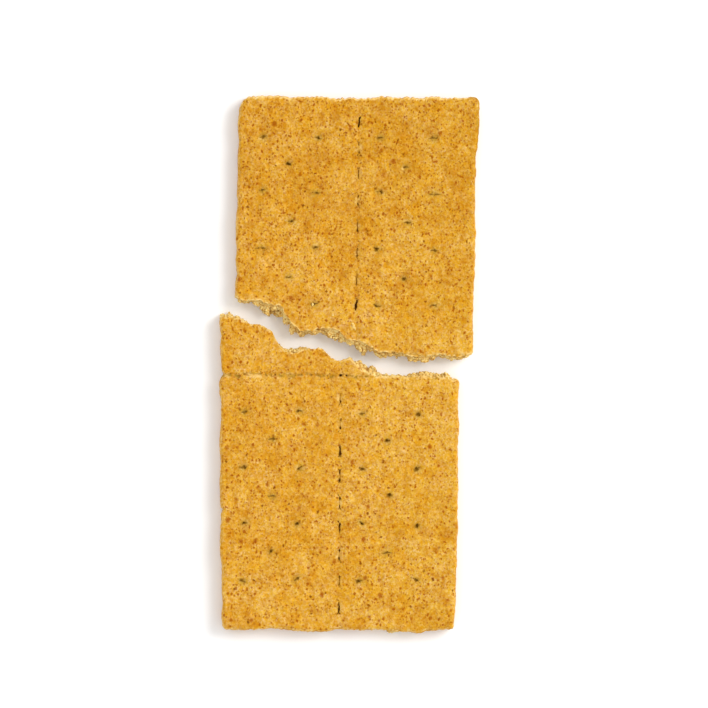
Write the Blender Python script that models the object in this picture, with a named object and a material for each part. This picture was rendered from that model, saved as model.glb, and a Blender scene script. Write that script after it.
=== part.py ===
"""A graham cracker snapped in two, lying flat. Metres, +Z up, +Y towards the far piece.

The sheet is baked whole: two squares with a scored line between them, a row of slits down its
centre line, and docking holes in a quincunx on both sides of it. It has then been snapped along
a jagged crack, and the two pieces lie a few millimetres apart, each turned a little.

Everything on the sheet is placed in the sheet's own frame, across and along it. The frame's
origin is on the underside, where the centre line crosses the scored line.
"""

import math
import random

import bmesh
import bpy
import numpy as np
from mathutils import Matrix, Vector, noise

MM = 0.001

# The sheet.
SHEET_LENGTH = 124 * MM
LEFT_WIDTH = 29.3 * MM  # from the centre line to the left edge
RIGHT_WIDTH = 28.7 * MM
THICKNESS = 5.0 * MM
CORNER_RADIUS = 1.2 * MM
WORN_CORNER_RADIUS = 3.0 * MM  # the far left corner
RIM_ROUNDING = 0.9 * MM
CELL = 2.4 * MM  # spacing of the lines that the relief follows
SWELL = 0.3 * MM  # how far the baked top rises and falls
SWELL_SPACING = 7 * MM
EDGE_WAVER = 0.4 * MM  # how far the cut edges stray from straight
WAVER_SPACING = 4 * MM
WAVER_REACH = 3 * MM
NARROWING = 0.025  # how much narrower the sheet is at its near end
NARROWING_LENGTH = 22 * MM  # from the near end to where the narrowing starts

# The scored line between the squares, and the valley that the slits lie in.
SCORE_DEPTH = 0.8 * MM
SCORE_HALF_WIDTH = 1.2 * MM
VALLEY_DEPTH = 0.35 * MM
VALLEY_HALF_WIDTH = 1.3 * MM

# Docking holes: rows of two and rows of one by turns, on each side of the centre line.
SQUARE = SHEET_LENGTH / 2
DOCKING_ROWS = 7
FIRST_ROW = 9.1 * MM  # from the far end of each square
ROW_PITCH = 6.8 * MM
LEFT_COLUMNS = (-23.2 * MM, -16.6 * MM, -10.0 * MM)
RIGHT_COLUMNS = (5.1 * MM, 11.8 * MM, 18.5 * MM)
PIN_SIDES = 6
PIN_MOUTH = 0.75 * MM
PIN_TIP = 0.15 * MM
PIN_STRETCH = 1.5  # the holes are wider across the sheet
PIN_DEPTH = 2.6 * MM
PIN_STRAY = 0.4 * MM

# Slits: dashes along the centre line of each square.
SLITS = 9
FIRST_SLIT = 5.5 * MM
SLIT_PITCH = 6.35 * MM
SLIT_LENGTH = 2.4 * MM
SLIT_WIDTH = 0.6 * MM
SLIT_DEPTH = 2.8 * MM
SLIT_TAPER = 0.4

# The crack, as (across, along) in millimetres from left to right: the edge of the top skin on
# each piece. The two edges match but for what has chipped off them.
FAR_EDGE = (
    (-29.3, 13.5), (-27.2, 12.7), (-23.0, 12.7), (-21.3, 11.9), (-18.9, 11.7), (-17.8, 11.2),
    (-17.5, 9.9), (-15.0, 7.0), (-13.7, 5.8), (-11.9, 5.4), (-9.9, 5.7), (-8.1, 6.4),
    (-5.9, 6.3), (-3.9, 5.6), (-1.9, 3.6), (1.6, 3.2), (3.7, 2.0), (6.3, 0.8), (11.4, 0.8),
    (13.8, -0.4), (16.0, -0.3), (20.7, 0.4), (24.2, 0.1), (26.3, -0.4), (28.0, 0.3),
)
NEAR_EDGE = (
    (-29.3, 13.9), (-27.0, 14.1), (-25.0, 13.6), (-21.0, 11.9), (-19.1, 11.9), (-16.7, 10.3),
    (-16.0, 8.8), (-14.5, 6.7), (-13.4, 5.7), (-11.6, 5.5), (-8.0, 6.4), (-5.2, 6.5),
    (-3.3, 5.5), (-2.3, 4.2), (-0.9, 3.5), (2.3, 4.0), (3.7, 2.6), (6.8, 0.5), (9.1, 0.4),
    (11.7, -0.1), (16.3, -0.3), (20.3, 0.2), (22.6, -0.3), (25.4, -0.5), (28.7, -1.1),
)
# How far the crumb of each piece reaches out from under its skin at places across the sheet,
# in millimetres. Where it is less than nothing, the skin overhangs.
FAR_LEDGE = (
    (-29.0, 0.5), (-24.0, 1.0), (-21.0, 2.8), (-17.0, 1.9), (-11.0, 0.6), (-5.0, 2.0),
    (3.0, 2.4), (8.0, 1.6), (14.0, 1.2), (20.0, 0.5), (29.0, 0.3),
)
NEAR_LEDGE = (
    (-29.0, 0.5), (-25.0, 0.3), (-21.0, -1.5), (-16.0, -1.2), (-11.0, 0.3), (-5.0, -1.0),
    (1.0, -0.5), (4.0, 1.3), (8.0, 0.6), (16.0, 0.3), (22.0, 0.6), (29.0, 0.2),
)
CRACK_STEP = 0.8 * MM
CRACK_LAYERS = 6
CRACK_ROUGHNESS = 0.5 * MM
CRUMB_SPACING = 1.3 * MM
KEPT_CLEAR = 1.8 * MM  # no hole or slit is left this close to the crack

# The pieces as they lie: how far the far one has slid from the near one, and how each is turned.
SLIDE = Vector((3.55, 5.0, 0.0)) * MM
BETWEEN = Vector((0.1, -0.1, 0.0)) * MM  # midway between the two pieces' frames
FAR_TURN = math.radians(-1.0)
NEAR_TURN = math.radians(-0.44)

OVERSHOOT = 1.0 * MM  # how far a cutter stands out of what it cuts

FAR_COLOUR = (0.70, 0.33, 0.035, 1.0)
NEAR_COLOUR = (0.75, 0.38, 0.05, 1.0)


def clear_scene():
    for obj in list(bpy.data.objects):
        bpy.data.objects.remove(obj)


def new_collection(name):
    collection = bpy.data.collections.new(name)
    bpy.context.scene.collection.children.link(collection)
    return collection


def crust_material(name, colour):
    """Baked dough: matt, with no metal in it."""
    material = bpy.data.materials.new(name)
    material.use_nodes = True
    shader = material.node_tree.nodes["Principled BSDF"]
    shader.inputs["Base Color"].default_value = colour
    shader.inputs["Roughness"].default_value = 0.85
    shader.inputs["Metallic"].default_value = 0.0
    material.diffuse_color = colour
    return material


def mesh_from(bm, name):
    mesh = bpy.data.meshes.new(name)
    bm.to_mesh(mesh)
    bm.free()
    return mesh


def new_cutter(bm, name, cutters):
    cutter = bpy.data.objects.new(name, mesh_from(bm, name))
    cutter.hide_render = True
    cutter.display_type = "WIRE"
    cutters.objects.link(cutter)
    return cutter


def cut(obj, cutter, operation):
    boolean = obj.modifiers.new(cutter.name, "BOOLEAN")
    boolean.operation = operation
    boolean.object = cutter


def along_curve(points, u):
    """The height in metres, at u, of the broken line through points in millimetres."""
    across, along = zip(*points)
    return float(np.interp(u / MM, across, along)) * MM


def ridge(distance, half_width):
    """1 on a line, falling to 0 at half_width from it."""
    return max(0.0, 1.0 - abs(distance) / half_width)


def relief(u, v):
    """How far the baked top stands above or below its mean height."""
    height = SWELL * noise.noise(Vector((u, v, 0.0)) / SWELL_SPACING)
    height -= SCORE_DEPTH * ridge(v, SCORE_HALF_WIDTH)
    height -= VALLEY_DEPTH * ridge(u, VALLEY_HALF_WIDTH)
    return height


def waver(u, v):
    """How far the cut outline strays from straight, fading away inside the sheet."""
    side_noise = noise.noise(Vector((math.copysign(3.0, u), v / WAVER_SPACING, 0.5)))
    end_noise = noise.noise(Vector((u / WAVER_SPACING, math.copysign(5.0, v), 1.5)))
    from_side = min(LEFT_WIDTH + u, RIGHT_WIDTH - u)
    from_end = SQUARE - abs(v)
    return EDGE_WAVER * Vector((
        side_noise * ridge(from_side, WAVER_REACH),
        end_noise * ridge(from_end, WAVER_REACH),
        0.0,
    ))


def corner_edge(bm, side_u, side_v):
    """The upright edge of the block at one corner, told by the signs of its place."""
    for edge in bm.edges:
        a, b = (vert.co for vert in edge.verts)
        if abs(a.z - b.z) > THICKNESS / 2 and a.x * side_u > 0 and a.y * side_v > 0:
            return edge


def round_over(bm, edges, radius, segments):
    bmesh.ops.bevel(
        bm, geom=edges, offset=radius, offset_type="OFFSET", affect="EDGES",
        segments=segments, profile=0.5, material=-1,
    )


def rounded_block():
    """A flat block of the sheet's size, with rounded corners and rims."""
    bm = bmesh.new()
    bmesh.ops.create_cube(bm, size=1.0)
    bmesh.ops.scale(bm, verts=bm.verts, vec=(LEFT_WIDTH + RIGHT_WIDTH, SHEET_LENGTH, THICKNESS))
    middle = ((RIGHT_WIDTH - LEFT_WIDTH) / 2, 0.0, THICKNESS / 2)
    bmesh.ops.translate(bm, verts=bm.verts, vec=middle)
    for side_u, side_v in ((-1, 1), (1, 1), (1, -1), (-1, -1)):
        worn = (side_u, side_v) == (-1, 1)
        radius = WORN_CORNER_RADIUS if worn else CORNER_RADIUS
        round_over(bm, [corner_edge(bm, side_u, side_v)], radius, segments=3)
    level = THICKNESS / 1000
    rims = [edge for edge in bm.edges if abs(edge.verts[0].co.z - edge.verts[1].co.z) < level]
    round_over(bm, rims, RIM_ROUNDING, segments=2)
    return bm


def spread(start, stop):
    """Lines about a cell apart, from start up to but not onto stop."""
    count = round((stop - start) / CELL)
    return [start + (stop - start) * i / count for i in range(count)]


def draw_lines(bm):
    """Cuts the faces along lines across and along the sheet, for the relief to follow."""
    right = spread(VALLEY_HALF_WIDTH, RIGHT_WIDTH - RIM_ROUNDING)
    left = spread(VALLEY_HALF_WIDTH, LEFT_WIDTH - RIM_ROUNDING)
    ends = spread(SCORE_HALF_WIDTH, SQUARE - RIM_ROUNDING)
    lines = [((u, 0.0, 0.0), (1.0, 0.0, 0.0)) for u in [0.0, *right, *(-u for u in left)]]
    lines += [((0.0, v, 0.0), (0.0, 1.0, 0.0)) for v in [0.0, *ends, *(-v for v in ends)]]
    for point, normal in lines:
        geometry = bm.verts[:] + bm.edges[:] + bm.faces[:]
        bmesh.ops.bisect_plane(bm, geom=geometry, dist=MM / 1000, plane_co=point, plane_no=normal)


def shape_top_and_edges(bm):
    for vert in bm.verts:
        u, v, z = vert.co
        upper_half = max(0.0, 2 * z / THICKNESS - 1)
        near_end = max(0.0, 1 - (v + SQUARE) / NARROWING_LENGTH)
        vert.co += waver(u, v) + Vector((0.0, 0.0, relief(u, v) * upper_half))
        vert.co.x *= 1 - NARROWING * near_end


def underside_made_one(bm):
    """One flat face under the sheet, in place of the cells that the lines have cut there."""
    flat = [face for face in bm.faces if max(vert.co.z for vert in face.verts) < MM / 1000]
    bmesh.ops.dissolve_faces(bm, faces=flat)


def clear_of_crack(u, v):
    return min(abs(v - along_curve(edge, u)) for edge in (FAR_EDGE, NEAR_EDGE)) > KEPT_CLEAR


def docking_holes():
    """The place of each docking hole, strayed a little from the even pattern."""
    stray = random.Random(7)
    for far_end in (SQUARE, 0.0):
        for row in range(DOCKING_ROWS):
            for outer, middle, inner in (LEFT_COLUMNS, RIGHT_COLUMNS):
                for column in (middle,) if row % 2 else (outer, inner):
                    u = column + stray.uniform(-PIN_STRAY, PIN_STRAY)
                    v = far_end - FIRST_ROW - row * ROW_PITCH
                    v += stray.uniform(-PIN_STRAY, PIN_STRAY)
                    if clear_of_crack(u, v):
                        yield u, v


def slit_places():
    for far_end in (SQUARE, 0.0):
        for slit in range(SLITS):
            v = far_end - FIRST_SLIT - slit * SLIT_PITCH
            if clear_of_crack(0.0, v - SLIT_LENGTH / 2):
                yield v


def docking_pins(cutters):
    """The pins that prick the dough, all in one cutter."""
    bm = bmesh.new()
    depth = PIN_DEPTH + OVERSHOOT
    for u, v in docking_holes():
        place = Matrix.Translation((u, v, THICKNESS + OVERSHOOT - depth / 2))
        bmesh.ops.create_cone(
            bm, cap_ends=True, segments=PIN_SIDES, radius1=PIN_TIP, radius2=PIN_MOUTH,
            depth=depth, matrix=place @ Matrix.Diagonal((PIN_STRETCH, 1.0, 1.0, 1.0)),
        )
    return new_cutter(bm, "docking_pins", cutters)


def slit_blades(cutters):
    """The blades that cut the slits, each thinner towards its lower edge."""
    bm = bmesh.new()
    depth = SLIT_DEPTH + OVERSHOOT
    for v in slit_places():
        place = Matrix.Translation((0.0, v, THICKNESS + OVERSHOOT - depth / 2))
        size = Matrix.Diagonal((SLIT_WIDTH, SLIT_LENGTH, depth, 1.0))
        blade = bmesh.ops.create_cube(bm, size=1.0, matrix=place @ size)["verts"]
        tip = [vert for vert in blade if vert.co.z < THICKNESS - SLIT_DEPTH / 2]
        taper = (SLIT_TAPER, SLIT_TAPER, 1.0)
        bmesh.ops.scale(bm, verts=tip, vec=taper, space=place.inverted())
    return new_cutter(bm, "slit_blades", cutters)


def whole_sheet(cutters):
    """The mesh of the sheet as it leaves the oven, pricked and slit but not yet snapped."""
    bm = rounded_block()
    draw_lines(bm)
    shape_top_and_edges(bm)
    underside_made_one(bm)
    sheet = bpy.data.objects.new("sheet", mesh_from(bm, "sheet"))
    bpy.context.scene.collection.objects.link(sheet)
    cut(sheet, docking_pins(cutters), "DIFFERENCE")
    cut(sheet, slit_blades(cutters), "DIFFERENCE")
    graph = bpy.context.evaluated_depsgraph_get()
    mesh = bpy.data.meshes.new_from_object(sheet.evaluated_get(graph))
    mesh.name = "pricked_sheet"
    bpy.data.objects.remove(sheet)
    return mesh


def crack_face(edge, ledge, direction, u, z):
    """Where a piece's broken face stands along the sheet, at u across it and z up."""
    drop = min(max(1 - z / THICKNESS, 0.0), 1.0)
    reach = along_curve(ledge, u) * math.sin(drop * math.pi / 2)
    crumb = noise.noise(Vector((u, z, direction)) / CRUMB_SPACING) * CRACK_ROUGHNESS
    return along_curve(edge, u) - direction * reach + crumb * min(1.0, 3 * drop)


def one_side_of_crack(name, edge, ledge, direction, cutters):
    """A block that holds all of the sheet on one side of the crack: +1 beyond it, -1 before it."""
    reach = LEFT_WIDTH + 2 * OVERSHOOT
    bm = bmesh.new()
    bmesh.ops.create_grid(
        bm, x_segments=round(2 * reach / CRACK_STEP), y_segments=CRACK_LAYERS, size=1.0
    )
    for vert in bm.verts:
        u = vert.co.x * reach
        z = THICKNESS / 2 + vert.co.y * (THICKNESS / 2 + OVERSHOOT)
        vert.co = (u, crack_face(edge, ledge, direction, u, z), z)
    pulled = bmesh.ops.extrude_face_region(bm, geom=bm.faces[:], use_keep_orig=True)["geom"]
    far_side = [item for item in pulled if isinstance(item, bmesh.types.BMVert)]
    bmesh.ops.translate(bm, verts=far_side, vec=(0.0, direction * SHEET_LENGTH, 0.0))
    bmesh.ops.recalc_face_normals(bm, faces=bm.faces[:])
    return new_cutter(bm, name, cutters)


def snapped_piece(name, sheet, block, colour, origin, turn, cracker):
    """One piece of the sheet: what lies on its own side of the crack, put down in its place."""
    piece = bpy.data.objects.new(name, sheet.copy())
    piece.data.materials.clear()
    piece.data.materials.append(crust_material(name + "_crust", colour))
    cracker.objects.link(piece)
    piece.location = origin
    piece.rotation_euler.z = turn
    block.parent = piece
    cut(piece, block, "INTERSECT")
    return piece


def main():
    clear_scene()
    cracker = new_collection("graham_cracker")
    cutters = new_collection("cutters")
    sheet = whole_sheet(cutters)
    far_block = one_side_of_crack("beyond_crack", FAR_EDGE, FAR_LEDGE, 1, cutters)
    near_block = one_side_of_crack("before_crack", NEAR_EDGE, NEAR_LEDGE, -1, cutters)
    snapped_piece(
        "far_piece", sheet, far_block, FAR_COLOUR, BETWEEN + SLIDE / 2, FAR_TURN, cracker
    )
    snapped_piece(
        "near_piece", sheet, near_block, NEAR_COLOUR, BETWEEN - SLIDE / 2, NEAR_TURN, cracker
    )


main()
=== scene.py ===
"""A graham cracker snapped in two, lying flat on a white table.

Shapes are worked out in millimetres in the frame of the whole sheet: u across it, v along it and
z up, with the origin on the underside where the centre line crosses the scored line. A finished
mesh is then brought to where its piece lies, in metres.
"""

import math
import random

import bmesh
import bpy
import numpy as np
from mathutils import Euler, Matrix, Vector, noise


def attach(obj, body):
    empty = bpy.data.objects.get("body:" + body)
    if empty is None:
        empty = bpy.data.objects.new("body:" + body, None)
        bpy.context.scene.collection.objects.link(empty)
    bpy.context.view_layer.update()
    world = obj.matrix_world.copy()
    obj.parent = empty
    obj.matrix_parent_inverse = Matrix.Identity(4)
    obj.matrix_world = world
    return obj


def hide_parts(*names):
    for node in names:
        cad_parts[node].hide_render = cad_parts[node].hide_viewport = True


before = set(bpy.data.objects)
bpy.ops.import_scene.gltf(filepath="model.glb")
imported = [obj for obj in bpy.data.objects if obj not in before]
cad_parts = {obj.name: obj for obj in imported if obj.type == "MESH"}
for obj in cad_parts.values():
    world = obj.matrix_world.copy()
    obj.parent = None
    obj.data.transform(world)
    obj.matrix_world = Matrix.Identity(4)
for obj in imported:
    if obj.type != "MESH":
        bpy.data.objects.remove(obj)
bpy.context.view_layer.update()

MM = 0.001


# ---------------------------------------------------------------------------------------------
# The table and its light.
# A plain white table top, seen from straight above. One broad soft lamp stands to the upper
# right, and white walls all round fill the shadows.

CAMERA_HEIGHT = 1.0
CAMERA_CENTRE = Vector((1.58, 2.55)) * MM
BAKED_TOP = 5.0 * MM  # the height of the sheet's top
PICTURE_WIDTH = 172.0 * MM  # what the camera takes in at that height, from side to side
SENSOR = 36.0

camera = bpy.data.objects.new("camera", bpy.data.cameras.new("camera"))
bpy.context.scene.collection.objects.link(camera)
camera.location = (*CAMERA_CENTRE, CAMERA_HEIGHT)
camera.data.sensor_width = SENSOR
camera.data.lens = SENSOR * (CAMERA_HEIGHT - BAKED_TOP) / PICTURE_WIDTH
bpy.context.scene.camera = camera

WALL_BRIGHTNESS = 0.95

world = bpy.data.worlds.new("white_room")
world.use_nodes = True
walls = world.node_tree.nodes["Background"]
walls.inputs["Color"].default_value = (1.0, 1.0, 1.0, 1.0)
walls.inputs["Strength"].default_value = WALL_BRIGHTNESS
bpy.context.scene.world = world
bpy.context.scene.view_settings.view_transform = "Standard"

LAMP_SIZE = 0.5
LAMP_PLACE = Vector((0.64, 0.32, 0.7))
LAMP_POWER = 6.0

lamp = bpy.data.objects.new("lamp", bpy.data.lights.new("lamp", "AREA"))
bpy.context.scene.collection.objects.link(lamp)
lamp.data.size = LAMP_SIZE
lamp.data.energy = LAMP_POWER
lamp.location = LAMP_PLACE
lamp.rotation_euler = LAMP_PLACE.to_track_quat("Z", "Y").to_euler()

TABLE_HALF_WIDTH = 1.5
TABLE_TOP = -0.03 * MM  # a hair below the cracker's underside
TABLE_WHITE = (0.93, 0.93, 0.93, 1.0)

bm = bmesh.new()
bmesh.ops.create_grid(bm, x_segments=1, y_segments=1, size=TABLE_HALF_WIDTH)
bmesh.ops.translate(bm, verts=bm.verts, vec=(0.0, 0.0, TABLE_TOP))
table = bpy.data.objects.new("table", bpy.data.meshes.new("table"))
bm.to_mesh(table.data)
bm.free()
bpy.context.scene.collection.objects.link(table)
table_white = bpy.data.materials.new("table_white")
table_white.use_nodes = True
table_shader = table_white.node_tree.nodes["Principled BSDF"]
table_shader.inputs["Base Color"].default_value = TABLE_WHITE
table_shader.inputs["Roughness"].default_value = 0.9
table_shader.inputs["Specular IOR Level"].default_value = 0.1
table.data.materials.append(table_white)


# ---------------------------------------------------------------------------------------------
# The baked sheet.
# Whole wheat dough rolled thin, scored into two squares, slit down the middle and pricked with
# docking pins, then baked in one sheet. Its skin is golden tan and finely wrinkled, with bran.

SHEET_LENGTH = 124.0
LEFT_WIDTH = 29.3  # from the centre line to the left edge
RIGHT_WIDTH = 28.7
THICKNESS = 5.0
SQUARE = SHEET_LENGTH / 2
CORNER_RADIUS = 1.2
WORN_CORNER_RADIUS = 3.0  # the far left corner
RIM = 0.9  # how far in the top edge is rounded
CELL = 0.27  # the spacing of the skin's mesh
# The heights of the rows of the wall's mesh.
WALL_LEVELS = (3.8, 3.45, 3.1, 2.75, 2.4, 2.05, 1.7, 1.35, 1.0, 0.65, 0.35, 0.12, 0.0)
WALL_BULGE = 0.12
UNDERSIDE_INSET = 0.4  # how far the wall is drawn in at its foot
UNDERSIDE_CELL = 1.2  # the spacing of the underside's mesh
NARROWING = 0.025  # how much narrower the sheet is at its near end
NARROWING_LENGTH = 22.0  # from the near end to where the narrowing starts
WAVER = 0.4  # how far the cut edges stray from straight
WAVER_SPACING = 4.0
WAVER_REACH = 3.0  # how far into the sheet that still shows
# How far the cut outline stands out from straight: across the two ends, and along the two sides.
FAR_END = ((-29.0, 0.4), (4.0, 0.5), (8.0, 0.85), (28.0, 0.8))
NEAR_END = (
    (-28.0, 0.0), (-23.0, 0.25), (-14.0, -0.3), (-10.5, -0.1), (-7.5, 0.5), (-3.0, 0.5),
    (-1.0, -0.1), (10.5, 0.0), (13.0, 0.5), (17.0, 0.15), (20.0, 0.65), (22.5, 0.0), (27.5, -0.35),
)
LEFT_SIDE = ((-62.0, -0.3), (-47.0, -0.5), (-30.0, -0.3), (-8.0, -0.25), (0.0, 0.0))
RIGHT_SIDE = (
    (5.0, 0.0), (13.0, -0.35), (21.0, 0.1), (43.0, -0.4), (50.0, 0.0), (55.0, 0.45), (62.0, 0.5),
)
# Nicks in the cut edge: side, along, depth, half length.
NICKS = ((-1, 0.0, 0.7, 0.9), (1, 0.0, 0.5, 0.8), (-1, -32.9, 0.5, 0.6))

DOCKING_ROWS = 7
FIRST_ROW = 9.1  # from the far end of each square
ROW_PITCH = 6.8
LEFT_COLUMNS = (-23.2, -16.6, -10.0)
RIGHT_COLUMNS = (5.1, 11.8, 18.5)
PIN_STRAY = 0.4
# How far each docking hole has stayed open in the oven, row by row from the far end, and from left
# to right. The one at 0 has closed without a trace.
OPENNESS = (
    (0.5, 0.6, 0.5, 0.4), (1.0, 0.5), (0.4, 0.35, 0.5, 0.25), (0.65, 0.5), (0.25, 0.55, 0.85, 0.45),
    (0.3, 0.8), (0.0, 0.4, 0.6, 0.3),
    (0.35, 0.5, 0.35, 0.7), (0.35, 0.9), (0.5, 0.55, 0.75, 0.75), (0.3, 0.95),
    (0.8, 0.75, 0.95, 0.9), (0.65, 0.5), (0.5, 0.5, 0.65, 0.5),
)
# The pin's mark and the open part of it, each from nearly closed to wide open.
MARK_LENGTH = (1.5, 0.5)  # half its length
HOLE_RADIUS = (0.17, 0.33)
HOLE_DEPTH = (0.25, 0.95)
MARK_SPREAD = (0.7, 1.25)  # how unevenly long the marks are, and the same for the holes
HOLE_SPREAD = (0.8, 1.2)
OFF_MIDDLE = 0.4  # how far along its mark a hole may lie, as a share of half its length
MARK_HALF_WIDTH = 0.16
MARK_DEPTH = 0.45
DIMPLE_DEPTH = 0.25
DIMPLE_RADIUS = 1.3
HALO_RADIUS = 0.85  # the painted shade round a hole, in its dimple

SLIT_PITCH = 6.35
FIRST_SLIT = 5.5  # from the far end of each square
# How far each slit has stayed open, slit by slit: at its far end, its middle and its near end.
SLIT_OPENNESS = (
    ((1.0, 1.0, 1.0), (0.5, 0.1, 0.6), (0.45, 0.5, 0.3), (0.6, 0.1, 0.8), (0.4, 0.4, 0.8),
     (0.5, 0.4, 0.6), (0.3, 0.4, 0.6), (0.8, 1.0, 0.9)),
    ((0.3, 0.25, 0.8), (0.6, 0.1, 0.9), (0.5, 0.9, 1.0), (0.9, 0.25, 0.9), (0.9, 0.2, 0.8),
     (1.0, 0.7, 0.35), (0.8, 0.1, 0.9), (0.7, 0.35, 0.5), (0.5, 0.8, 1.0)),
)
SLIT_HALF_LENGTH = 1.27
SLIT_HALF_WIDTH = 0.21
SLIT_DEPTH = 1.0
SLIT_LEAN = 0.2  # how far over the wide open ones lean at their ends
VALLEY_DEPTH = 0.28  # of the valley that the slits lie in
VALLEY_HALF_WIDTH = 0.9
VALLEY_START = 3.0  # from the far end
SCORE_DEPTH = 0.4
SCORE_HALF_WIDTH = 0.45
SCORE_CUT_HALF_WIDTH = 0.24
# Where the scored line is cut deeper and painted dark with the shade in the cut: across, along, half
# length, depth.
SCORE_CUTS = (
    (-22.9, 0.0, 0.9, 0.3), (-16.0, -0.2, 0.3, 0.5), (-12.3, -0.9, 0.35, 0.4),
    (-11.2, 0.3, 0.5, 0.15), (-18.3, 0.2, 0.6, 0.08), (-6.0, 0.1, 1.3, 0.16),
    (-3.0, 0.0, 0.5, 0.15), (0.0, 0.0, 0.38, 0.9), (1.5, 0.0, 0.22, 0.7),
)


def fade(start, stop, value):
    """0 at start and 1 at stop, with no corner at either."""
    t = np.clip((value - start) / (stop - start), 0.0, 1.0)
    return t * t * (3.0 - 2.0 * t)


def read_line(line, at):
    """Reads a line given as pairs of numbers."""
    return np.interp(at, [point[0] for point in line], [point[1] for point in line])


def between(pair, share):
    """The value that lies a share of the way from the first of the pair to the second."""
    return pair[0] + (pair[1] - pair[0]) * share


def bell(distance, width, power=2):
    """1 at no distance and nearly 0 beyond the width, with steeper sides for a higher power."""
    return np.exp(-((np.abs(distance) / width) ** power))


def roughness(places, spacing, seed):
    """Smooth random values from about -1 to 1 at places, changing over the spacing."""
    shift = Vector((seed * 17.3, seed * 5.1, seed * 11.7))
    return np.array([noise.noise(Vector(place) / spacing + shift) for place in places])


def docking_holes():
    """Each docking hole as its place, the half length of its mark, the radius and depth of its
    open part, its tilt, and where along the mark it is open."""
    stray = random.Random(7)
    spread = random.Random(11)
    holes = []
    for square, far_end in enumerate((SQUARE, 0.0)):
        for row in range(DOCKING_ROWS):
            openness = iter(OPENNESS[square * DOCKING_ROWS + row])
            for outer, middle, inner in (LEFT_COLUMNS, RIGHT_COLUMNS):
                for column in (middle,) if row % 2 else (outer, inner):
                    u = column + stray.uniform(-PIN_STRAY, PIN_STRAY)
                    v = far_end - FIRST_ROW - row * ROW_PITCH
                    v += stray.uniform(-PIN_STRAY, PIN_STRAY)
                    share = next(openness)
                    length = between(MARK_LENGTH, share) * spread.uniform(*MARK_SPREAD)
                    radius = between(HOLE_RADIUS, share) * spread.uniform(*HOLE_SPREAD)
                    depth = between(HOLE_DEPTH, share)
                    tilt = spread.gauss(0.0, 0.6 * share ** 2 + 0.05)
                    start = spread.uniform(-OFF_MIDDLE, OFF_MIDDLE) * length
                    if share:
                        holes.append((u, v, length, radius, depth, tilt, start))
    return holes


HOLES = docking_holes()
# Each slit as its place along the sheet and how open it is.
SLITS = [
    (far_end - FIRST_SLIT - i * SLIT_PITCH, openness)
    for far_end, row in zip((SQUARE, 0.0), SLIT_OPENNESS)
    for i, openness in enumerate(row)
]


def raise_to(layer, near, values):
    """Raises the values of a layer that are lower than these."""
    layer[near] = np.maximum(layer[near], values)


def press_holes(marks, u, v, wobble, fine):
    """Each docking hole lies in a dimple with painted shade in it, on the thin mark of its pin, with a
    broken ring of painted highlight round it. The hole and the mark are painted dark with the shade that
    falls in them."""
    for hole_u, hole_v, length, radius, depth, tilt, start in HOLES:
        near = np.hypot(u - hole_u, v - hole_v) < 3 * DIMPLE_RADIUS
        du, dv, w, f = u[near] - hole_u, v[near] - hole_v, wobble[near], fine[near]
        along = du * math.cos(tilt) + dv * math.sin(tilt)
        across = dv * math.cos(tilt) - du * math.sin(tilt) + 0.3 * w
        off_middle = np.hypot(along, across)
        off_mark = np.hypot(along / (0.7 + 0.6 * length), across)
        off_hole = np.hypot((along - start) / (1.4 * radius), across / radius) * (1 + 0.6 * f)
        mark = bell(along, length, 4) * bell(across, MARK_HALF_WIDTH)
        beside = bell(along, length, 4) * bell(across, 0.35)
        ring = bell(off_mark - 0.75, 0.35)
        # The mark and the hole are cut in, and painted dark with the shade that falls in them.
        raise_to(marks["pit"], near, MARK_DEPTH * mark * np.clip(0.8 + 1.6 * f, 0.0, 1.0))
        raise_to(marks["pit"], near, depth * bell(off_hole, 1.0, 2.5))
        marks["hollow"][near] += DIMPLE_DEPTH * bell(off_middle, DIMPLE_RADIUS)
        # Painted shade in the dimple round the hole.
        halo = bell(off_mark, HALO_RADIUS) * np.clip(0.95 + 1.4 * w, 0.0, 1.0)
        raise_to(marks["painted_shade_and_brown"], near, halo)
        # Pale skin beside a closed mark, and a broken ring of painted highlight round the hole.
        marks["pale"][near] += 1.6 * (1 - depth) * f * beside + 0.3 * ring * (1.6 * w - 0.1)


def cut_slits(marks, u, v, wobble, fine):
    """Each slit is a cut of uneven width, painted dark with the shade that falls in it, with painted
    shade round it. Where it has closed, its lips are paler, and at its ends the skin has cracked in a
    fork, painted dark with its shade too."""
    for slit_v, (far_share, share, near_share) in SLITS:
        near = (np.abs(v - slit_v) < 3 * SLIT_HALF_LENGTH) & (np.abs(u) < 3)
        along, w, f = (v[near] - slit_v) / SLIT_HALF_LENGTH, wobble[near], fine[near]
        off = u[near] + 0.2 * w - SLIT_LEAN * along * (share == 1)
        openness = np.interp(along, (-0.8, -0.3, 0.3, 0.8), (near_share, share, share, far_share))
        width = SLIT_HALF_WIDTH * (0.4 + 0.6 * openness) * (1 + 0.6 * f)
        cut = bell(off, width, 4) * bell(along, 1.0, 8)
        # The slit is cut in and painted dark with the shade that falls in it; so are the forks at its
        # ends.
        raise_to(marks["slit"], near, SLIT_DEPTH * openness ** 1.3 * cut)
        beyond = (np.abs(along) - 1) * SLIT_HALF_LENGTH
        fork = bell(np.abs(off) - 0.7 * beyond, 0.14) * (beyond > 0) * fade(1.0, 0.5, beyond)
        fork *= np.clip(0.3 + 2.5 * w, 0.0, 1.0)
        raise_to(marks["pit"], near, 0.5 * openness * fork)
        lips = bell(np.abs(off) - 0.5, 0.45) * bell(along, 0.8, 4) * (0.6 + 1.6 * w)
        marks["pale"][near] += 0.36 * (1 - share) * lips
        # Painted shade round the slit.
        raise_to(marks["painted_shade_and_brown"], near, 0.42 * bell(off, 0.6) * bell(along, 1.0, 4))


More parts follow.
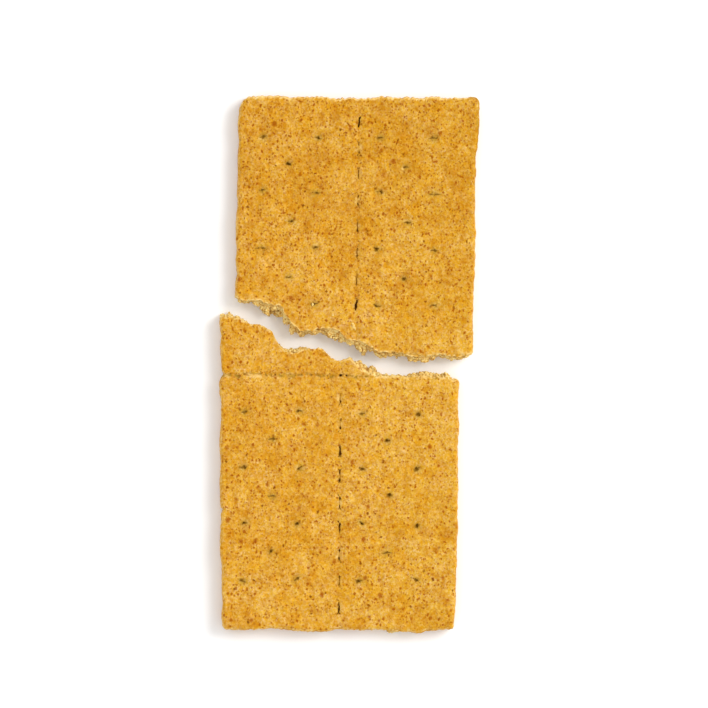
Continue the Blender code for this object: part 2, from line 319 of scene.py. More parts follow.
def press_lines(marks, u, v, wobble, fine, drift):
    """The valley of the slits, and the scored line with its deeper cuts and its pale ridges. The cuts
    are painted dark with the shade in them, and painted shade runs along the line.
    """
    # The deeper cuts, painted dark with the shade in them.
    for cut_u, cut_v, half_length, depth in SCORE_CUTS:
        cut = bell(u - cut_u + 0.3 * fine, half_length, 4)
        cut *= bell(v - cut_v + 0.4 * wobble + 0.1 * fine, SCORE_CUT_HALF_WIDTH, 4)
        raise_to(marks["slit"], ..., depth * cut)
    valley = VALLEY_DEPTH * bell(u, VALLEY_HALF_WIDTH) * (0.7 + 0.8 * wobble)
    marks["hollow"] += valley * fade(SQUARE, SQUARE - VALLEY_START, v)
    off = v + 0.4 * wobble + 0.7 * drift
    scored = bell(off, SCORE_HALF_WIDTH)
    marks["hollow"] += SCORE_DEPTH * scored * (0.7 + wobble + 0.6 * fine)
    # Painted shade along the scored line.
    raise_to(marks["painted_shade_and_brown"], ..., scored * np.clip(0.5 + 1.5 * wobble + fine, 0.0, 1.0))
    ridge = bell(np.abs(off) - 0.5, 0.45)
    marks["pale"] += 0.42 * ridge * (1.6 * wobble - 1.4 * drift + 0.8 * fine)


SKIN_LAYERS = ("pit", "slit", "painted_shade_and_brown", "pale")  # what the crust's colours need to know


def carving(places):
    """What the pins and blades did at places: how deep the holes and slits are, how far the skin is
    pressed in, where it takes painted shade and browning, and where it is pale, partly with painted
    highlight."""
    flat = places * (1, 1, 0)
    marks = {kind: np.zeros(len(places)) for kind in ("hollow", *SKIN_LAYERS)}
    at = (places[:, 0], places[:, 1], roughness(flat, 0.9, 1), roughness(flat, 0.4, 12))
    press_holes(marks, *at)
    cut_slits(marks, *at)
    press_lines(marks, *at, roughness(flat, 2.4, 16))
    marks["pale"] = np.clip(marks["pale"], 0.0, 1.0)
    return marks


SWELL = 0.3  # how far the baked top rises and falls
SWELL_SPACING = 7.0


def swell(places):
    """How far the sheet has puffed up at places."""
    return SWELL * roughness(places * (1, 1, 0), SWELL_SPACING, 0)


def skin_relief(places):
    """How far the baked skin's swells, lumps and wrinkles stand out at places."""
    lumps = 0.12 * roughness(places, 2.3, 2)
    bumps = 0.11 * roughness(places, 1.05, 3)
    wrinkles = 0.12 * np.abs(roughness(places, 0.75, 4))
    return swell(places) + lumps + bumps - wrinkles


def outline_shift(u, v):
    """How far the cut outline strays from straight, fading away inside the sheet."""
    side, end = math.copysign(3.0, u), math.copysign(5.0, v)
    side_noise = noise.noise(Vector((side, v / WAVER_SPACING, 0.5)))
    end_noise = noise.noise(Vector((u / WAVER_SPACING, end, 1.5)))
    side_noise += 0.35 * noise.noise(Vector((side, v / 1.1, 2.5)))
    end_noise += 0.35 * noise.noise(Vector((u / 1.1, end, 3.5)))
    end_noise += (0.8 if v > 0 else 0.4) * noise.noise(Vector((u / 0.5, end, 4.5)))
    at_side = max(0.0, 1 - min(LEFT_WIDTH + u, RIGHT_WIDTH - u) / WAVER_REACH)
    at_end = max(0.0, 1 - (SQUARE - abs(v)) / WAVER_REACH)
    stand = -read_line(LEFT_SIDE, v) if u < 0 else read_line(RIGHT_SIDE, v)
    shift = Vector(((WAVER * side_noise + stand) * at_side, WAVER * end_noise * at_end, 0.0))
    shift.y += (read_line(FAR_END, u) if v > 0 else -read_line(NEAR_END, u)) * at_end
    for nick_side, nick_v, depth, half_length in NICKS:
        if u * nick_side > 0:
            shift.x -= nick_side * depth * at_side * math.exp(-abs((v - nick_v) / half_length) ** 1.5)
    return shift


def rim_curve(from_edge):
    """The rounded top edge: a point's new distance from the edge, and how far it drops."""
    angle = min(1.0, max(0.0, 1 - from_edge / RIM)) * math.pi / 2
    return max(from_edge - RIM, 0.0) + RIM * (1 - math.sin(angle)), RIM * (1 - math.cos(angle))


def rounded_outline(u, v):
    """Brings a place on the square blank to its place on the rounded, baked sheet."""
    centre = (RIGHT_WIDTH - LEFT_WIDTH) / 2
    half_width = (RIGHT_WIDTH + LEFT_WIDTH) / 2
    side, end = math.copysign(1, u - centre), math.copysign(1, v)
    from_side, side_drop = rim_curve(half_width - abs(u - centre))
    from_end, end_drop = rim_curve(SQUARE - abs(v))
    radius = WORN_CORNER_RADIUS if side < 0 < end else CORNER_RADIUS
    a, b = max(0.0, 1 - from_side / radius), max(0.0, 1 - from_end / radius)
    round_a, round_b = a * math.sqrt(1 - b * b / 2), b * math.sqrt(1 - a * a / 2)
    u = centre + side * (half_width - from_side - (a - round_a) * radius)
    v = end * (SQUARE - from_end - (b - round_b) * radius)
    u *= 1 - NARROWING * max(0.0, 1 - (v + SQUARE) / NARROWING_LENGTH)
    return Vector((u, v, THICKNESS - max(side_drop, end_drop)))


def wall_stand(z):
    """How far the wall stands out at a height: bulged, and drawn in at the foot."""
    height = z / THICKNESS
    return WALL_BULGE * math.sin(math.pi * min(1.0, height / 0.85)) - UNDERSIDE_INSET * (1 - height) ** 6


def refine(bm, near):
    """Halves the mesh of the top where near says so."""
    edges = {edge for face in bm.faces if near(face.calc_center_median()) for edge in face.edges}
    bmesh.ops.subdivide_edges(bm, edges=list(edges), cuts=1, use_grid_fill=True)


def near_slit(place):
    """Whether a place is near enough to a slit for the finest mesh."""
    return abs(place.x) < 0.6 and any(
        abs(place.y - v) < SLIT_HALF_LENGTH * 1.3 for v, openness in SLITS
    )


def near_mark(place):
    """Whether a place is near enough to a hole, a slit or the scored line for a finer mesh."""
    return abs(place.y) < SCORE_HALF_WIDTH * 1.6 or near_slit(place) or any(
        abs(place.x - u) < 1.4 * length and abs(place.y - v) < 0.5 + 0.3 * length
        for u, v, length, *rest in HOLES
    )


def sheet_blank():
    """The whole sheet before its relief: a fine top, walls in rows and an underside."""
    bm = bmesh.new()
    width = LEFT_WIDTH + RIGHT_WIDTH
    bmesh.ops.create_grid(
        bm, x_segments=round(width / CELL), y_segments=round(SHEET_LENGTH / CELL), size=1.0
    )
    for vert in bm.verts:
        u = (RIGHT_WIDTH - LEFT_WIDTH + vert.co.x * width) / 2
        vert.co = (u, vert.co.y * SQUARE, THICKNESS)
    refine(bm, near_mark)
    refine(bm, near_slit)
    for vert in bm.verts:
        flat = rounded_outline(vert.co.x, vert.co.y)
        vert.co = flat + outline_shift(flat.x, flat.y)

    ring = [edge for edge in bm.edges if edge.is_boundary]
    outward = {}
    for vert in {vert for edge in ring for vert in edge.verts}:
        ends = [edge.other_vert(vert).co for edge in vert.link_edges if edge.is_boundary]
        out = (ends[1] - ends[0]).cross(Vector((0, 0, 1))).normalized()
        outward[vert] = out if out.dot(vert.co) > 0 else -out
    for level in WALL_LEVELS:
        grown = bmesh.ops.extrude_edge_only(bm, edges=ring)["geom"]
        ring = [item for item in grown if isinstance(item, bmesh.types.BMEdge) and item.is_boundary]
        lower = {}
        for vert in {vert for edge in ring for vert in edge.verts}:
            above = next(v for e in vert.link_edges if (v := e.other_vert(vert)) in outward)
            lower[vert] = outward[above]
            push = wall_stand(level) - wall_stand(above.co.z)
            vert.co = (*(above.co + outward[above] * push).xy, level)
        outward = lower
    geom = bmesh.ops.holes_fill(bm, edges=ring, sides=0)["faces"]
    geom = list({item for face in geom for item in (face, *face.edges, *face.verts)})
    for reach, normal in ((LEFT_WIDTH, Vector((1, 0, 0))), (SQUARE, Vector((0, 1, 0)))):
        for step in range(1, int(2 * reach / UNDERSIDE_CELL)):
            place = normal * (step * UNDERSIDE_CELL - reach)
            geom = bmesh.ops.bisect_plane(bm, geom=geom, plane_co=place, plane_no=normal)["geom"]
    bmesh.ops.recalc_face_normals(bm, faces=bm.faces[:])
    mesh = bpy.data.meshes.new("sheet")
    bm.to_mesh(mesh)
    bm.free()
    return mesh


def vertex_values(mesh, name):
    """The places or normals of a mesh's vertices as rows of an array."""
    values = np.empty(3 * len(mesh.vertices), dtype=np.float32)
    mesh.vertices.foreach_get(name, values)
    return values.reshape(-1, 3).astype(float)


PALE_HEIGHT = 0.06  # how far the pale ridges beside the marks stand up
TOP_STARTS = (2.8, 4.4)  # between these heights the relief of the wall turns into that of the top
LOWEST_CUT = 4.0  # no mesh that starts below this height is moved by a pin or a blade


def baked_sheet():
    """The whole sheet with everything that is on its skin."""
    mesh = sheet_blank()
    places, normals = vertex_values(mesh, "co"), vertex_values(mesh, "normal")
    marks = carving(places)
    on_top = fade(*TOP_STARTS, places[:, 2])
    out = skin_relief(places) * (0.5 + 0.5 * on_top)
    out += (PALE_HEIGHT * marks["pale"] - marks["hollow"]) * on_top
    moved = places + normals * out[:, None]
    moved[:, 2] -= np.maximum(marks["pit"], marks["slit"]) * (places[:, 2] > LOWEST_CUT)
    moved[:, 2] = np.maximum(moved[:, 2], 0.0)
    mesh.vertices.foreach_set("co", moved.ravel().astype(np.float32))
    mesh.update()
    return mesh


# ---------------------------------------------------------------------------------------------
# What the crust and the crumb are made of.
# The crust is matt and golden tan: pale wrinkles over amber, flecked with bran, with painted shade olive
# down in the docking holes and dark down in the slits, and a painted highlight along much of the rim.
# The crumb is the paler open inside, with painted shade in its pores.

LIGHT = 1.14  # how much brighter than a white sheet's own colour the lamp and walls make it


def shade(red, green, blue):
    """The colour of a surface that comes out like this in the light of the table."""
    linear = [((part / 255 + 0.055) / 1.055) ** 2.4 / LIGHT for part in (red, green, blue)]
    return (*linear, 1.0)


def node(tree, kind, inputs, **properties):
    """Adds a node. Its inputs are given as values, as sockets, or as nodes with one output."""
    made = tree.nodes.new(kind)
    for name, value in properties.items():
        setattr(made, name, value)
    for name, value in inputs.items():
        if isinstance(value, bpy.types.Node):
            value = value.outputs[0]
        if isinstance(value, bpy.types.NodeSocket):
            tree.links.new(value, made.inputs[name])
        else:
            made.inputs[name].default_value = value
    return made


def blend(tree, share, first, second, how="MIX"):
    """The first colour where the share is 0, and the second where it is 1."""
    inputs = {0: share, 6: first, 7: second}
    return node(tree, "ShaderNodeMix", inputs, data_type="RGBA", blend_type=how).outputs[2]


def maths(tree, operation, first, second):
    """Does a sum with two values."""
    return node(tree, "ShaderNodeMath", {0: first, 1: second}, operation=operation)


def ramp(tree, value, start, stop, height=1.0):
    """0 up to start and the height from stop on."""
    inputs = {"Value": value, "From Min": start, "From Max": stop, "To Max": height}
    return node(tree, "ShaderNodeMapRange", inputs, interpolation_type="SMOOTHSTEP")


def clouds(tree, place, spacing, detail=2.0, rough=0.5):
    """Smooth random values round a half, changing over the spacing."""
    inputs = {"Vector": place, "Scale": 1 / spacing, "Detail": detail, "Roughness": rough}
    return node(tree, "ShaderNodeTexNoise", inputs)


def veins(tree, place, spacing, width):
    """1 along wandering lines and 0 away from them."""
    off_line = maths(tree, "SUBTRACT", clouds(tree, place, spacing), 0.5)
    off_line = maths(tree, "ABSOLUTE", off_line, 0.0)
    return ramp(tree, off_line, width, 0.0)


def flecked(tree, colour, place, size, share, soft, strength, first, second):
    """Scatters flecks over a colour. A share of the cells of a spacing hold one, each its own
    size and strength, and each its own mix of the two colours."""
    spacing, radius = size
    cell = node(tree, "ShaderNodeTexVoronoi", {"Vector": place, "Scale": 1 / spacing})
    chance = node(tree, "ShaderNodeSeparateColor", {0: cell.outputs["Color"]})
    reach = maths(tree, "MULTIPLY_ADD", chance.outputs[1], radius / spacing)
    reach.inputs[2].default_value = 0.35 * radius / spacing
    inside = ramp(tree, maths(tree, "SUBTRACT", cell.outputs["Distance"], reach), soft, -soft)
    here = maths(tree, "LESS_THAN", chance.outputs[0], share)
    depth = ramp(tree, chance.outputs[2], -0.8, 0.8, strength)
    cover = maths(tree, "MULTIPLY", maths(tree, "MULTIPLY", inside, here), depth)
    return blend(tree, cover, colour, blend(tree, chance.outputs[2], first, second))


def stretched(tree, place, by):
    """Places multiplied by a factor of their own along each axis."""
    return node(tree, "ShaderNodeVectorMath", {0: place, 1: by}, operation="MULTIPLY")


WARP = (1.1, 1.1, 1.1)  # how far the warped places stray
DRAWN_OUT = (1.1, 0.92, 1.0)  # the pattern is drawn out a little along the sheet


def coloured(name):
    """A new material, its nodes, its places in millimetres, and the same places warped."""
    material = bpy.data.materials.new(name)
    material.use_nodes = True
    tree = material.node_tree
    place = node(tree, "ShaderNodeTexCoord", {}).outputs["Object"]
    place = node(tree, "ShaderNodeVectorMath", {0: place, "Scale": 1 / MM}, operation="SCALE")
    warp = clouds(tree, place, 0.7, 4.0, 0.7).outputs["Color"]
    drawn_out = stretched(tree, place, DRAWN_OUT)
    inputs = {0: warp, 1: WARP, 2: drawn_out}
    warped = node(tree, "ShaderNodeVectorMath", inputs, operation="MULTIPLY_ADD")
    return material, tree, place, warped


def attribute(tree, name):
    """The values of one of the skin's layers."""
    return node(tree, "ShaderNodeAttribute", {}, attribute_name=name).outputs["Fac"]


ROUGHNESS = 0.9
SHEEN = 0.03


def finish_material(tree, colour, height, bump):
    """Puts the colour on the shader, and fine relief of a depth in millimetres."""
    shader = tree.nodes["Principled BSDF"]
    tree.links.new(colour, shader.inputs["Base Color"])
    shader.inputs["Roughness"].default_value = ROUGHNESS
    shader.inputs["Specular IOR Level"].default_value = SHEEN
    relief = node(tree, "ShaderNodeBump", {"Height": height, "Distance": bump * MM, "Strength": 1.0})
    tree.links.new(relief.outputs[0], shader.inputs["Normal"])


crust, tree, place, warped = coloured("crust")
across, along, height = node(tree, "ShaderNodeSeparateXYZ", {0: place}).outputs
wrinkle = veins(tree, warped, 1.2, 0.09)
grain = clouds(tree, place, 0.6, 3.0)
strand = maths(tree, "MULTIPLY_ADD", wrinkle, 0.42)
tree.links.new(ramp(tree, grain, 0.4, 0.62, 0.58).outputs[0], strand.inputs[2])
colour = blend(tree, strand, shade(216, 155, 41), shade(234, 186, 104))
# Patches of the baked skin that are browner, paler, yellower and duller than that.
for patches, start, stop, depth, tint in (
    (clouds(tree, warped, 1.9), 0.46, 0.64, 0.52, (0.8, 0.66, 0.35)),
    (clouds(tree, place, 9.0), 0.38, 0.62, 0.5, (1.16, 1.34, 2.4)),
    (clouds(tree, place, 4.0), 0.52, 0.66, 0.55, (0.99, 0.86, 0.2)),
    (clouds(tree, warped, 5.6), 0.5, 0.66, 0.4, (0.82, 0.7, 0.6)),
):
    colour = blend(tree, ramp(tree, patches, start, stop, depth), colour, (*tint, 1.0), "MULTIPLY")
# Fine brown creases, in places.
here = ramp(tree, clouds(tree, place, 1.5), 0.42, 0.62, 0.6)
creased = maths(tree, "MULTIPLY", veins(tree, warped, 0.8, 0.05), here)
colour = blend(tree, creased, colour, shade(190, 118, 20))
# The right side is a touch duller.
rightwards = ramp(tree, across, -20.0, 30.0)
colour = blend(tree, rightwards, colour, (0.97, 0.995, 0.96, 1.0), "MULTIPLY")
# Spots that are yellower, and spots that are redder.
for spacing, blue in ((0.5, 0.46), (1.3, 0.78)):
    yellower = ramp(tree, clouds(tree, warped, spacing), 0.44, 0.58)
    colour = blend(tree, yellower, colour, (1.01, 0.99, blue, 1.0), "MULTIPLY")
redder = ramp(tree, clouds(tree, warped, 1.5), 0.4, 0.65)
colour = blend(tree, redder, colour, (1.0, 0.95, 0.93, 1.0), "MULTIPLY")
# Bran. Its flecks crowd together in places and towards the far end.
crowd = ramp(tree, clouds(tree, place, 3.0), 0.3, 0.62)
more_far_off = ramp(tree, along, -10.0, 40.0, 0.42)
tan, brown, rose = shade(204, 134, 10), shade(182, 106, 4), shade(196, 128, 34)
rust, dark = shade(162, 76, 2), shade(130, 70, 4)
for size, share, soft, strength, first, second in (
    ((3.4, 0.6), 0.3, 0.06, 0.6, tan, brown),
    ((1.6, 0.42), 0.65, 0.16, 0.5, rose, brown),
    ((0.64, 0.2), crowd, 0.14, 0.78, brown, rust),
    ((1.15, 0.26), 0.78, 0.1, 0.88, brown, rust),
    ((1.9, 0.27), 0.35, 0.07, 0.88, rust, dark),
    ((3.1, 0.4), 0.35, 0.06, 0.95, rust, brown),
    ((4.2, 0.5), 0.55, 0.07, 1.0, rust, rust),
    ((0.85, 0.2), more_far_off, 0.08, 0.9, brown, dark),
):
    colour = flecked(tree, colour, warped, size, share, soft, strength, first, second)
# The far end was baked more, and the underside most.
more_baked = ramp(tree, along, 0.0, 58.0)
colour = blend(tree, more_baked, colour, (0.925, 0.888, 0.77, 1.0), "MULTIPLY")
beneath = ramp(tree, height, 0.9, 0.1)
colour = blend(tree, beneath, colour, (0.82, 0.7, 0.5, 1.0), "MULTIPLY")
# What the pins and blades did to the skin, with painted shade in the holes, slits and dimples, and pale
# marks that are partly painted highlight.
pit, slit, painted_shade_and_brown, pale = (attribute(tree, layer) for layer in SKIN_LAYERS)
# Painted shade round the holes and slits and along the scored line, and the browned far end of the right
# rim, in one olive tan.
colour = blend(tree, maths(tree, "MULTIPLY", painted_shade_and_brown, 0.85), colour, shade(174, 136, 46))
# Pale skin, with painted highlight along the rim and in the rings round the holes; then painted shade,
# olive down in the holes and marks, dark down in the slits and cuts.
for layer, start, stop, strength, tint in (
    (pale, 0.0, 0.45, 0.85, shade(243, 200, 116)),
    (pale, 0.45, 1.0, 0.9, shade(251, 228, 162)),
    (pit, 0.02, 0.3, 0.85, shade(160, 116, 36)),
    (pit, 0.25, 0.9, 1.0, shade(138, 96, 18)),
    (slit, 0.03, 0.35, 0.85, shade(164, 112, 30)),
    (slit, 0.3, 1.0, 1.0, shade(122, 68, 14)),
):
    colour = blend(tree, ramp(tree, layer, start, stop, strength), colour, tint)
finish_material(tree, colour, strand, 0.1)

crumb, tree, place, warped = coloured("crumb")
grain = clouds(tree, place, 0.45, 3.0)
strand = ramp(tree, grain, 0.34, 0.58)
colour = blend(tree, strand, shade(226, 175, 80), shade(250, 223, 146))
browner = ramp(tree, clouds(tree, place, 1.4), 0.48, 0.7, 0.5)
colour = blend(tree, browner, colour, shade(223, 169, 74))
# Pores in the crumb, drawn out flat as the dough was rolled, painted darker with the shade that falls in
# them, and flecks of bran.
layered = stretched(tree, warped, (0.6, 0.6, 1.5))
pore_shade, deep_pore_shade = shade(204, 148, 62), shade(166, 108, 34)
colour = flecked(tree, colour, layered, (1.1, 0.36), 0.6, 0.12, 0.85, pore_shade, deep_pore_shade)
colour = flecked(tree, colour, warped, (0.9, 0.18), 0.3, 0.06, 1.0, brown, rust)
finish_material(tree, colour, grain.outputs[0], 0.12)


# ---------------------------------------------------------------------------------------------
# The two broken pieces.
# The sheet was snapped by hand across its far square. The crack wanders from side to side, and
# below the skin the crumb tore unevenly, so ledges of it stand out from under both skins.

SLIDE = Vector((3.55, 5.0, 0.0))  # from the near piece's origin to the far one's
BETWEEN = Vector((0.1, -0.1, 0.0))  # the middle of the two
FAR_TURN = math.radians(-1.0)
NEAR_TURN = math.radians(-0.44)
# The skin's broken edges, as places across and along the sheet.
FAR_EDGE = (
    (-29.3, 13.5), (-27.2, 12.7), (-23.0, 12.7), (-21.3, 11.9), (-18.9, 11.7), (-17.8, 11.2),
    (-17.5, 9.9), (-15.0, 7.0), (-13.7, 5.8), (-11.9, 5.4), (-9.9, 5.7), (-8.1, 6.4),
    (-5.9, 6.3), (-3.9, 5.6), (-1.9, 3.6), (1.6, 3.2), (3.7, 2.0), (6.3, 0.8), (11.4, 0.8),
    (13.8, -0.4), (16.0, -0.3), (20.7, 0.4), (24.2, 0.1), (26.3, 0.0), (27.7, 0.5), (28.7, 1.4),
)
NEAR_EDGE = (
    (-29.3, 13.9), (-27.0, 14.1), (-25.0, 13.6), (-21.0, 11.9), (-19.1, 11.9), (-16.7, 10.3),
    (-16.0, 8.8), (-14.5, 6.7), (-13.4, 5.7), (-11.6, 5.5), (-8.0, 6.4), (-5.2, 6.5),
    (-3.3, 5.5), (-2.3, 4.2), (-0.9, 3.5), (2.3, 4.0), (3.6, 2.7), (4.8, 1.5), (6.8, 0.2),
    (9.1, -0.2), (11.7, -0.2), (16.3, -0.3), (20.3, 0.2), (22.6, -0.3), (25.4, -0.5), (28.7, -1.1),
)
# How far the crumb stands out from under the skin, at places across the sheet. Where it is less
# than nothing, the skin overhangs.
FAR_LEDGE = (
    (-29.0, 0.15), (-25.5, 0.2), (-24.3, 1.1), (-21.5, 2.6), (-17.0, 1.9), (-11.0, 0.6),
    (-5.0, 2.0), (2.0, 2.2), (4.5, 0.9), (9.5, 0.7), (12.0, 0.9), (16.5, 0.85), (19.0, 0.5),
    (29.0, 0.15),
)
NEAR_LEDGE = (
    (-29.0, 0.6), (-25.0, 0.4), (-24.0, -0.8), (-21.0, -1.5), (-16.0, -1.4), (-13.0, 0.5),
    (-9.0, 0.6), (-7.5, -0.6), (-5.0, -1.0), (1.0, -0.6), (3.2, -0.2), (4.4, 1.0), (6.8, 1.9),
    (9.1, 1.0), (11.0, 0.1), (12.5, -0.6), (16.0, 0.1), (20.0, 0.4), (22.0, 0.7), (25.0, 0.5),
    (29.0, -0.3),
)
CRACK_STEP = 0.16  # the spacing of the broken face's mesh, across the sheet
CRACK_LAYERS = 34  # the rows of that mesh, from top to bottom
OVERSHOOT = 1.0  # the breaking block is this much bigger than the sheet


def skin_edge(edge, direction, u):
    """Where the skin's broken edge lies at places across the sheet."""
    across = np.column_stack((u, 0 * u, 0 * u + 9 * direction))
    return read_line(edge, u) + 0.45 * roughness(across, 1.4, 5) + 0.2 * roughness(across, 0.6, 6)


def crack_line(edge, ledge, direction, u, z):
    """Where the broken face lies at places across the sheet and heights."""
    drop = np.clip(1 - z / THICKNESS, 0.0, 1.0)
    face = np.column_stack((u, z, 0 * u + 9 * direction))
    skin = skin_edge(edge, direction, u)
    stand = read_line(ledge, u)
    clumps = 0.75 + 1.5 * roughness(face * (1, 0.6, 1), 1.9, 7) + 0.6 * roughness(face, 0.7, 11)
    stand = np.where(stand > 0, stand * np.clip(clumps, 0.15, 1.2), stand) * fade(0.14, 0.42, drop)
    lumps = 0.4 * roughness(face, 1.1, 8) + 0.35 * roughness(face, 0.5, 9)
    return skin - direction * (stand + lumps * fade(0.02, 0.14, drop))


def breaking_block(edge, ledge, direction):
    """A block that covers one piece of the sheet, with the broken face as its side."""
    bm = bmesh.new()
    half_width = LEFT_WIDTH + OVERSHOOT
    steps = round(2 * half_width / CRACK_STEP)
    bmesh.ops.create_grid(bm, x_segments=steps, y_segments=CRACK_LAYERS, size=1.0)
    u = np.array([vert.co.x * half_width for vert in bm.verts])
    z = np.array([vert.co.y * (THICKNESS / 2 + OVERSHOOT) + THICKNESS / 2 for vert in bm.verts])
    broken_face = np.column_stack((u, crack_line(edge, ledge, direction, u, z), z))
    for vert, place in zip(bm.verts, broken_face):
        vert.co = place
    back = bmesh.ops.extrude_face_region(bm, geom=bm.faces[:], use_keep_orig=True)["geom"]
    back = [item for item in back if isinstance(item, bmesh.types.BMVert)]
    bmesh.ops.translate(bm, verts=back, vec=(0, direction * SHEET_LENGTH, 0))
    bmesh.ops.recalc_face_normals(bm, faces=bm.faces[:])
    mesh = bpy.data.meshes.new("block")
    bm.to_mesh(mesh)
    bm.free()
    mesh.materials.append(crumb)
    return mesh


RIM_REACH = 2.0  # no part of the rim is farther in than this
RIM_TOP = (4.87, 4.63)  # going down, the rim's colour, pale with a painted highlight, comes in between these heights
RIM_FOOT = (4.1, 4.35)  # and goes out between these
BROWNED = (40.0, 52.0)  # along the sheet, the right rim turns brown between these places


def rims(places):
    """1 on the rounded rim at the far end, the left side, the right side and the near end."""
    u, v = places[:, 0], places[:, 1]
    level = places[:, 2] - swell(places)
    rim = fade(*RIM_TOP, level) * fade(*RIM_FOOT, level)
    from_edges = (SQUARE - v, LEFT_WIDTH + u, RIGHT_WIDTH - u, SQUARE + v)
    return [rim * (from_edge < RIM_REACH) for from_edge in from_edges]


def lay_down(mesh, direction):
    """Brings a mesh from the sheet's frame to where its piece lies, in metres."""
    origin = BETWEEN + direction * SLIDE / 2
    turn = Matrix.Rotation(FAR_TURN if direction > 0 else NEAR_TURN, 4, "Z")
    mesh.transform(Matrix.Scale(MM, 4) @ Matrix.Translation(origin) @ turn)


def break_off(sheet, block):
    """The part of the sheet that lies in a block, with the block's material where it broke."""
    whole, cover = bpy.data.objects.new("whole", sheet), bpy.data.objects.new("cover", block)
    for item in (whole, cover):
        bpy.context.scene.collection.objects.link(item)
    cut = whole.modifiers.new("break", "BOOLEAN")
    cut.operation = "INTERSECT"
    cut.solver = "MANIFOLD"
    cut.material_mode = "TRANSFER"
    cut.object = cover
    graph = bpy.context.evaluated_depsgraph_get()
    mesh = bpy.data.meshes.new_from_object(whole.evaluated_get(graph))
    for item in (whole, cover):
        bpy.data.objects.remove(item)
    bpy.data.meshes.remove(block)
    return mesh


def store_layers(mesh, edge, direction):
    """Keeps what happened to the skin where the crust's colours find it. The skin is pale where it tore,
    pale with a painted highlight along most of its rim, and browned at the far end of the right side."""
    places = vertex_values(mesh, "co")
    marks = carving(places)
    from_edge = direction * (places[:, 1] - skin_edge(edge, direction, places[:, 0]))
    torn = 0.8 * fade(0.5, 0.1, from_edge) * np.clip(0.5 + 2 * roughness(places, 0.8, 14), 0.0, 1.0)
    far_rim, left_rim, right_rim, near_rim = rims(places)
    fine = roughness(places, 0.5, 15)
    browned = right_rim * fade(*BROWNED, places[:, 1])
    # The rim is painted paler: partly paler crust, partly painted highlight where the rounded edge
    # catches the light.
    lit_pale_rim = far_rim * (0.9 + 1.8 * fine) + near_rim * (0.42 + 1.2 * fine)
    lit_pale_rim += (0.36 * left_rim + 0.18 * right_rim) * (1 + 1.5 * fine)
    raise_to(marks["pale"], ..., torn)
    raise_to(marks["pale"], ..., np.clip(lit_pale_rim, 0.0, 1.0) * (1 - browned))
    raise_to(marks["painted_shade_and_brown"], ..., browned * np.clip(0.9 + fine, 0.0, 1.0))
    for name in SKIN_LAYERS:
        layer = mesh.attributes.new(name, "FLOAT", "POINT")
        layer.data.foreach_set("value", marks[name].astype(np.float32))


SHARP = math.radians(55)  # edges folded more than this are shaded sharp


def broken_piece(name, sheet, edge, ledge, direction):
    """Breaks one piece off the sheet and lays it down."""
    mesh = break_off(sheet, breaking_block(edge, ledge, direction))
    store_layers(mesh, edge, direction)
    lay_down(mesh, direction)
    mesh.shade_smooth()
    mesh.set_sharp_from_angle(angle=SHARP)
    piece = bpy.data.objects.new(name, mesh)
    bpy.context.scene.collection.objects.link(piece)
    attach(piece, "root")
    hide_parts(name)


sheet = baked_sheet()
sheet.materials.append(crust)
broken_piece("far_piece", sheet, FAR_EDGE, FAR_LEDGE, 1)
broken_piece("near_piece", sheet, NEAR_EDGE, NEAR_LEDGE, -1)
bpy.data.meshes.remove(sheet)


# ---------------------------------------------------------------------------------------------
# The loose crumb.
# Little lumps of pale crumb that still hang from the broken faces, a few chips of it that lie on
# the far piece's skin, and a little that stands out at the foot of the near end.

CRUMBS = 950  # on each face
CRUMB_RADIUS = (0.14, 0.48)
CRUMB_HEIGHTS = (0.5, 4.1, 3.2)  # the lowest, the highest and the commonest
CLEAR_OF_SIDES = 1.0  # no lump is nearer than this to a side of the sheet
LUMP_SHAPES = 12
# Chips on the far piece: across, along, radius.
CHIPS = (
    (-10.6, 12.0, 0.35), (-5.7, 9.6, 0.3), (-0.75, 7.35, 0.4), (-0.45, 6.8, 0.45),
    (-0.2, 6.25, 0.35), (3.6, 5.8, 0.35),
)
CHIP_SHAPE = (0.8, 1.0, 0.4)
CHIP_SINK = 0.1  # how far below the mean height of the skin they lie
# Where crumb stands out under the near end, from left to right: from, to.
END_CRUMB_PLACES = ((-6.9, -2.6), (12.0, 16.0), (17.5, 20.5))
END_CRUMBS = 14  # in each of those
END_CRUMB_RADIUS = (0.2, 0.42)
END_CRUMB_RISE = 0.8  # how far above the table the highest starts
END_CRUMB_STAND = 0.3  # how far out from the straight end their middles lie
END_CRUMB_SHAPE = (1.3, 0.9, 0.65)


def rough_lump(seed):
    """A lump of crumb with a radius of about one."""
    bm = bmesh.new()
    bmesh.ops.create_icosphere(bm, subdivisions=2, radius=1.0)
    shift = Vector((seed * 7.0, 0.0, 0.0))
    for vert in bm.verts:
        broad, fine = noise.noise(vert.co / 1.1 + shift), noise.noise(vert.co / 0.45 - shift)
        vert.co *= 1 + 0.9 * broad + 0.6 * fine
    mesh = bpy.data.meshes.new("lump")
    bm.to_mesh(mesh)
    bm.free()
    return mesh


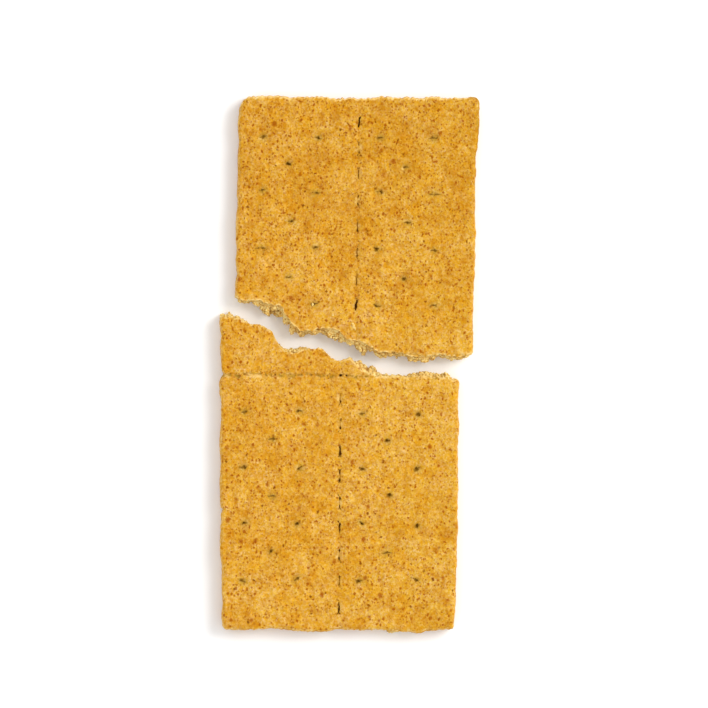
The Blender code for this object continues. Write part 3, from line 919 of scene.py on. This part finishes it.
def add_crumb(bm, place, radius, chance, shape=(1.0, 1.0, 1.0)):
    """Adds one of the lumps, turned at random."""
    lump = chance.choice(LUMPS).copy()
    turn = Euler([chance.uniform(0.0, 2 * math.pi) for axis in range(3)]).to_matrix().to_4x4()
    squash = Matrix.Diagonal((*(radius * part for part in shape), 1.0))
    lump.transform(Matrix.Translation(place) @ squash @ turn)
    bm.from_mesh(lump)
    bpy.data.meshes.remove(lump)


LUMPS = [rough_lump(seed) for seed in range(LUMP_SHAPES)]


def crumbs(name, edge, ledge, direction):
    """The crumb on one piece's broken face, with the far piece's chips or the near end's crumb."""
    chance = random.Random(3 + direction)
    left, right = CLEAR_OF_SIDES - LEFT_WIDTH, RIGHT_WIDTH - CLEAR_OF_SIDES
    u = np.array([chance.uniform(left, right) for i in range(CRUMBS)])
    z = np.array([chance.triangular(*CRUMB_HEIGHTS) for i in range(CRUMBS)])
    v = crack_line(edge, ledge, direction, u, z)
    bm = bmesh.new()
    for place in zip(u, v, z):
        add_crumb(bm, place, between(CRUMB_RADIUS, chance.random() ** 1.8), chance)
    if direction > 0:
        for chip_u, chip_v, radius in CHIPS:
            add_crumb(bm, (chip_u, chip_v, THICKNESS - CHIP_SINK), radius, chance, CHIP_SHAPE)
    else:
        for start, stop in END_CRUMB_PLACES:
            for i in range(END_CRUMBS):
                end_u, radius = chance.uniform(start, stop), chance.uniform(*END_CRUMB_RADIUS)
                end_z = radius + chance.uniform(0.0, END_CRUMB_RISE)
                place = (end_u, -SQUARE - END_CRUMB_STAND, end_z)
                add_crumb(bm, place, radius, chance, END_CRUMB_SHAPE)
    mesh = bpy.data.meshes.new(name)
    bm.to_mesh(mesh)
    bm.free()
    mesh.materials.append(crumb)
    mesh.shade_smooth()
    lay_down(mesh, direction)
    lumps = bpy.data.objects.new(name, mesh)
    bpy.context.scene.collection.objects.link(lumps)
    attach(lumps, "root")


crumbs("far_crumbs", FAR_EDGE, FAR_LEDGE, 1)
crumbs("near_crumbs", NEAR_EDGE, NEAR_LEDGE, -1)
for lump in LUMPS:
    bpy.data.meshes.remove(lump)
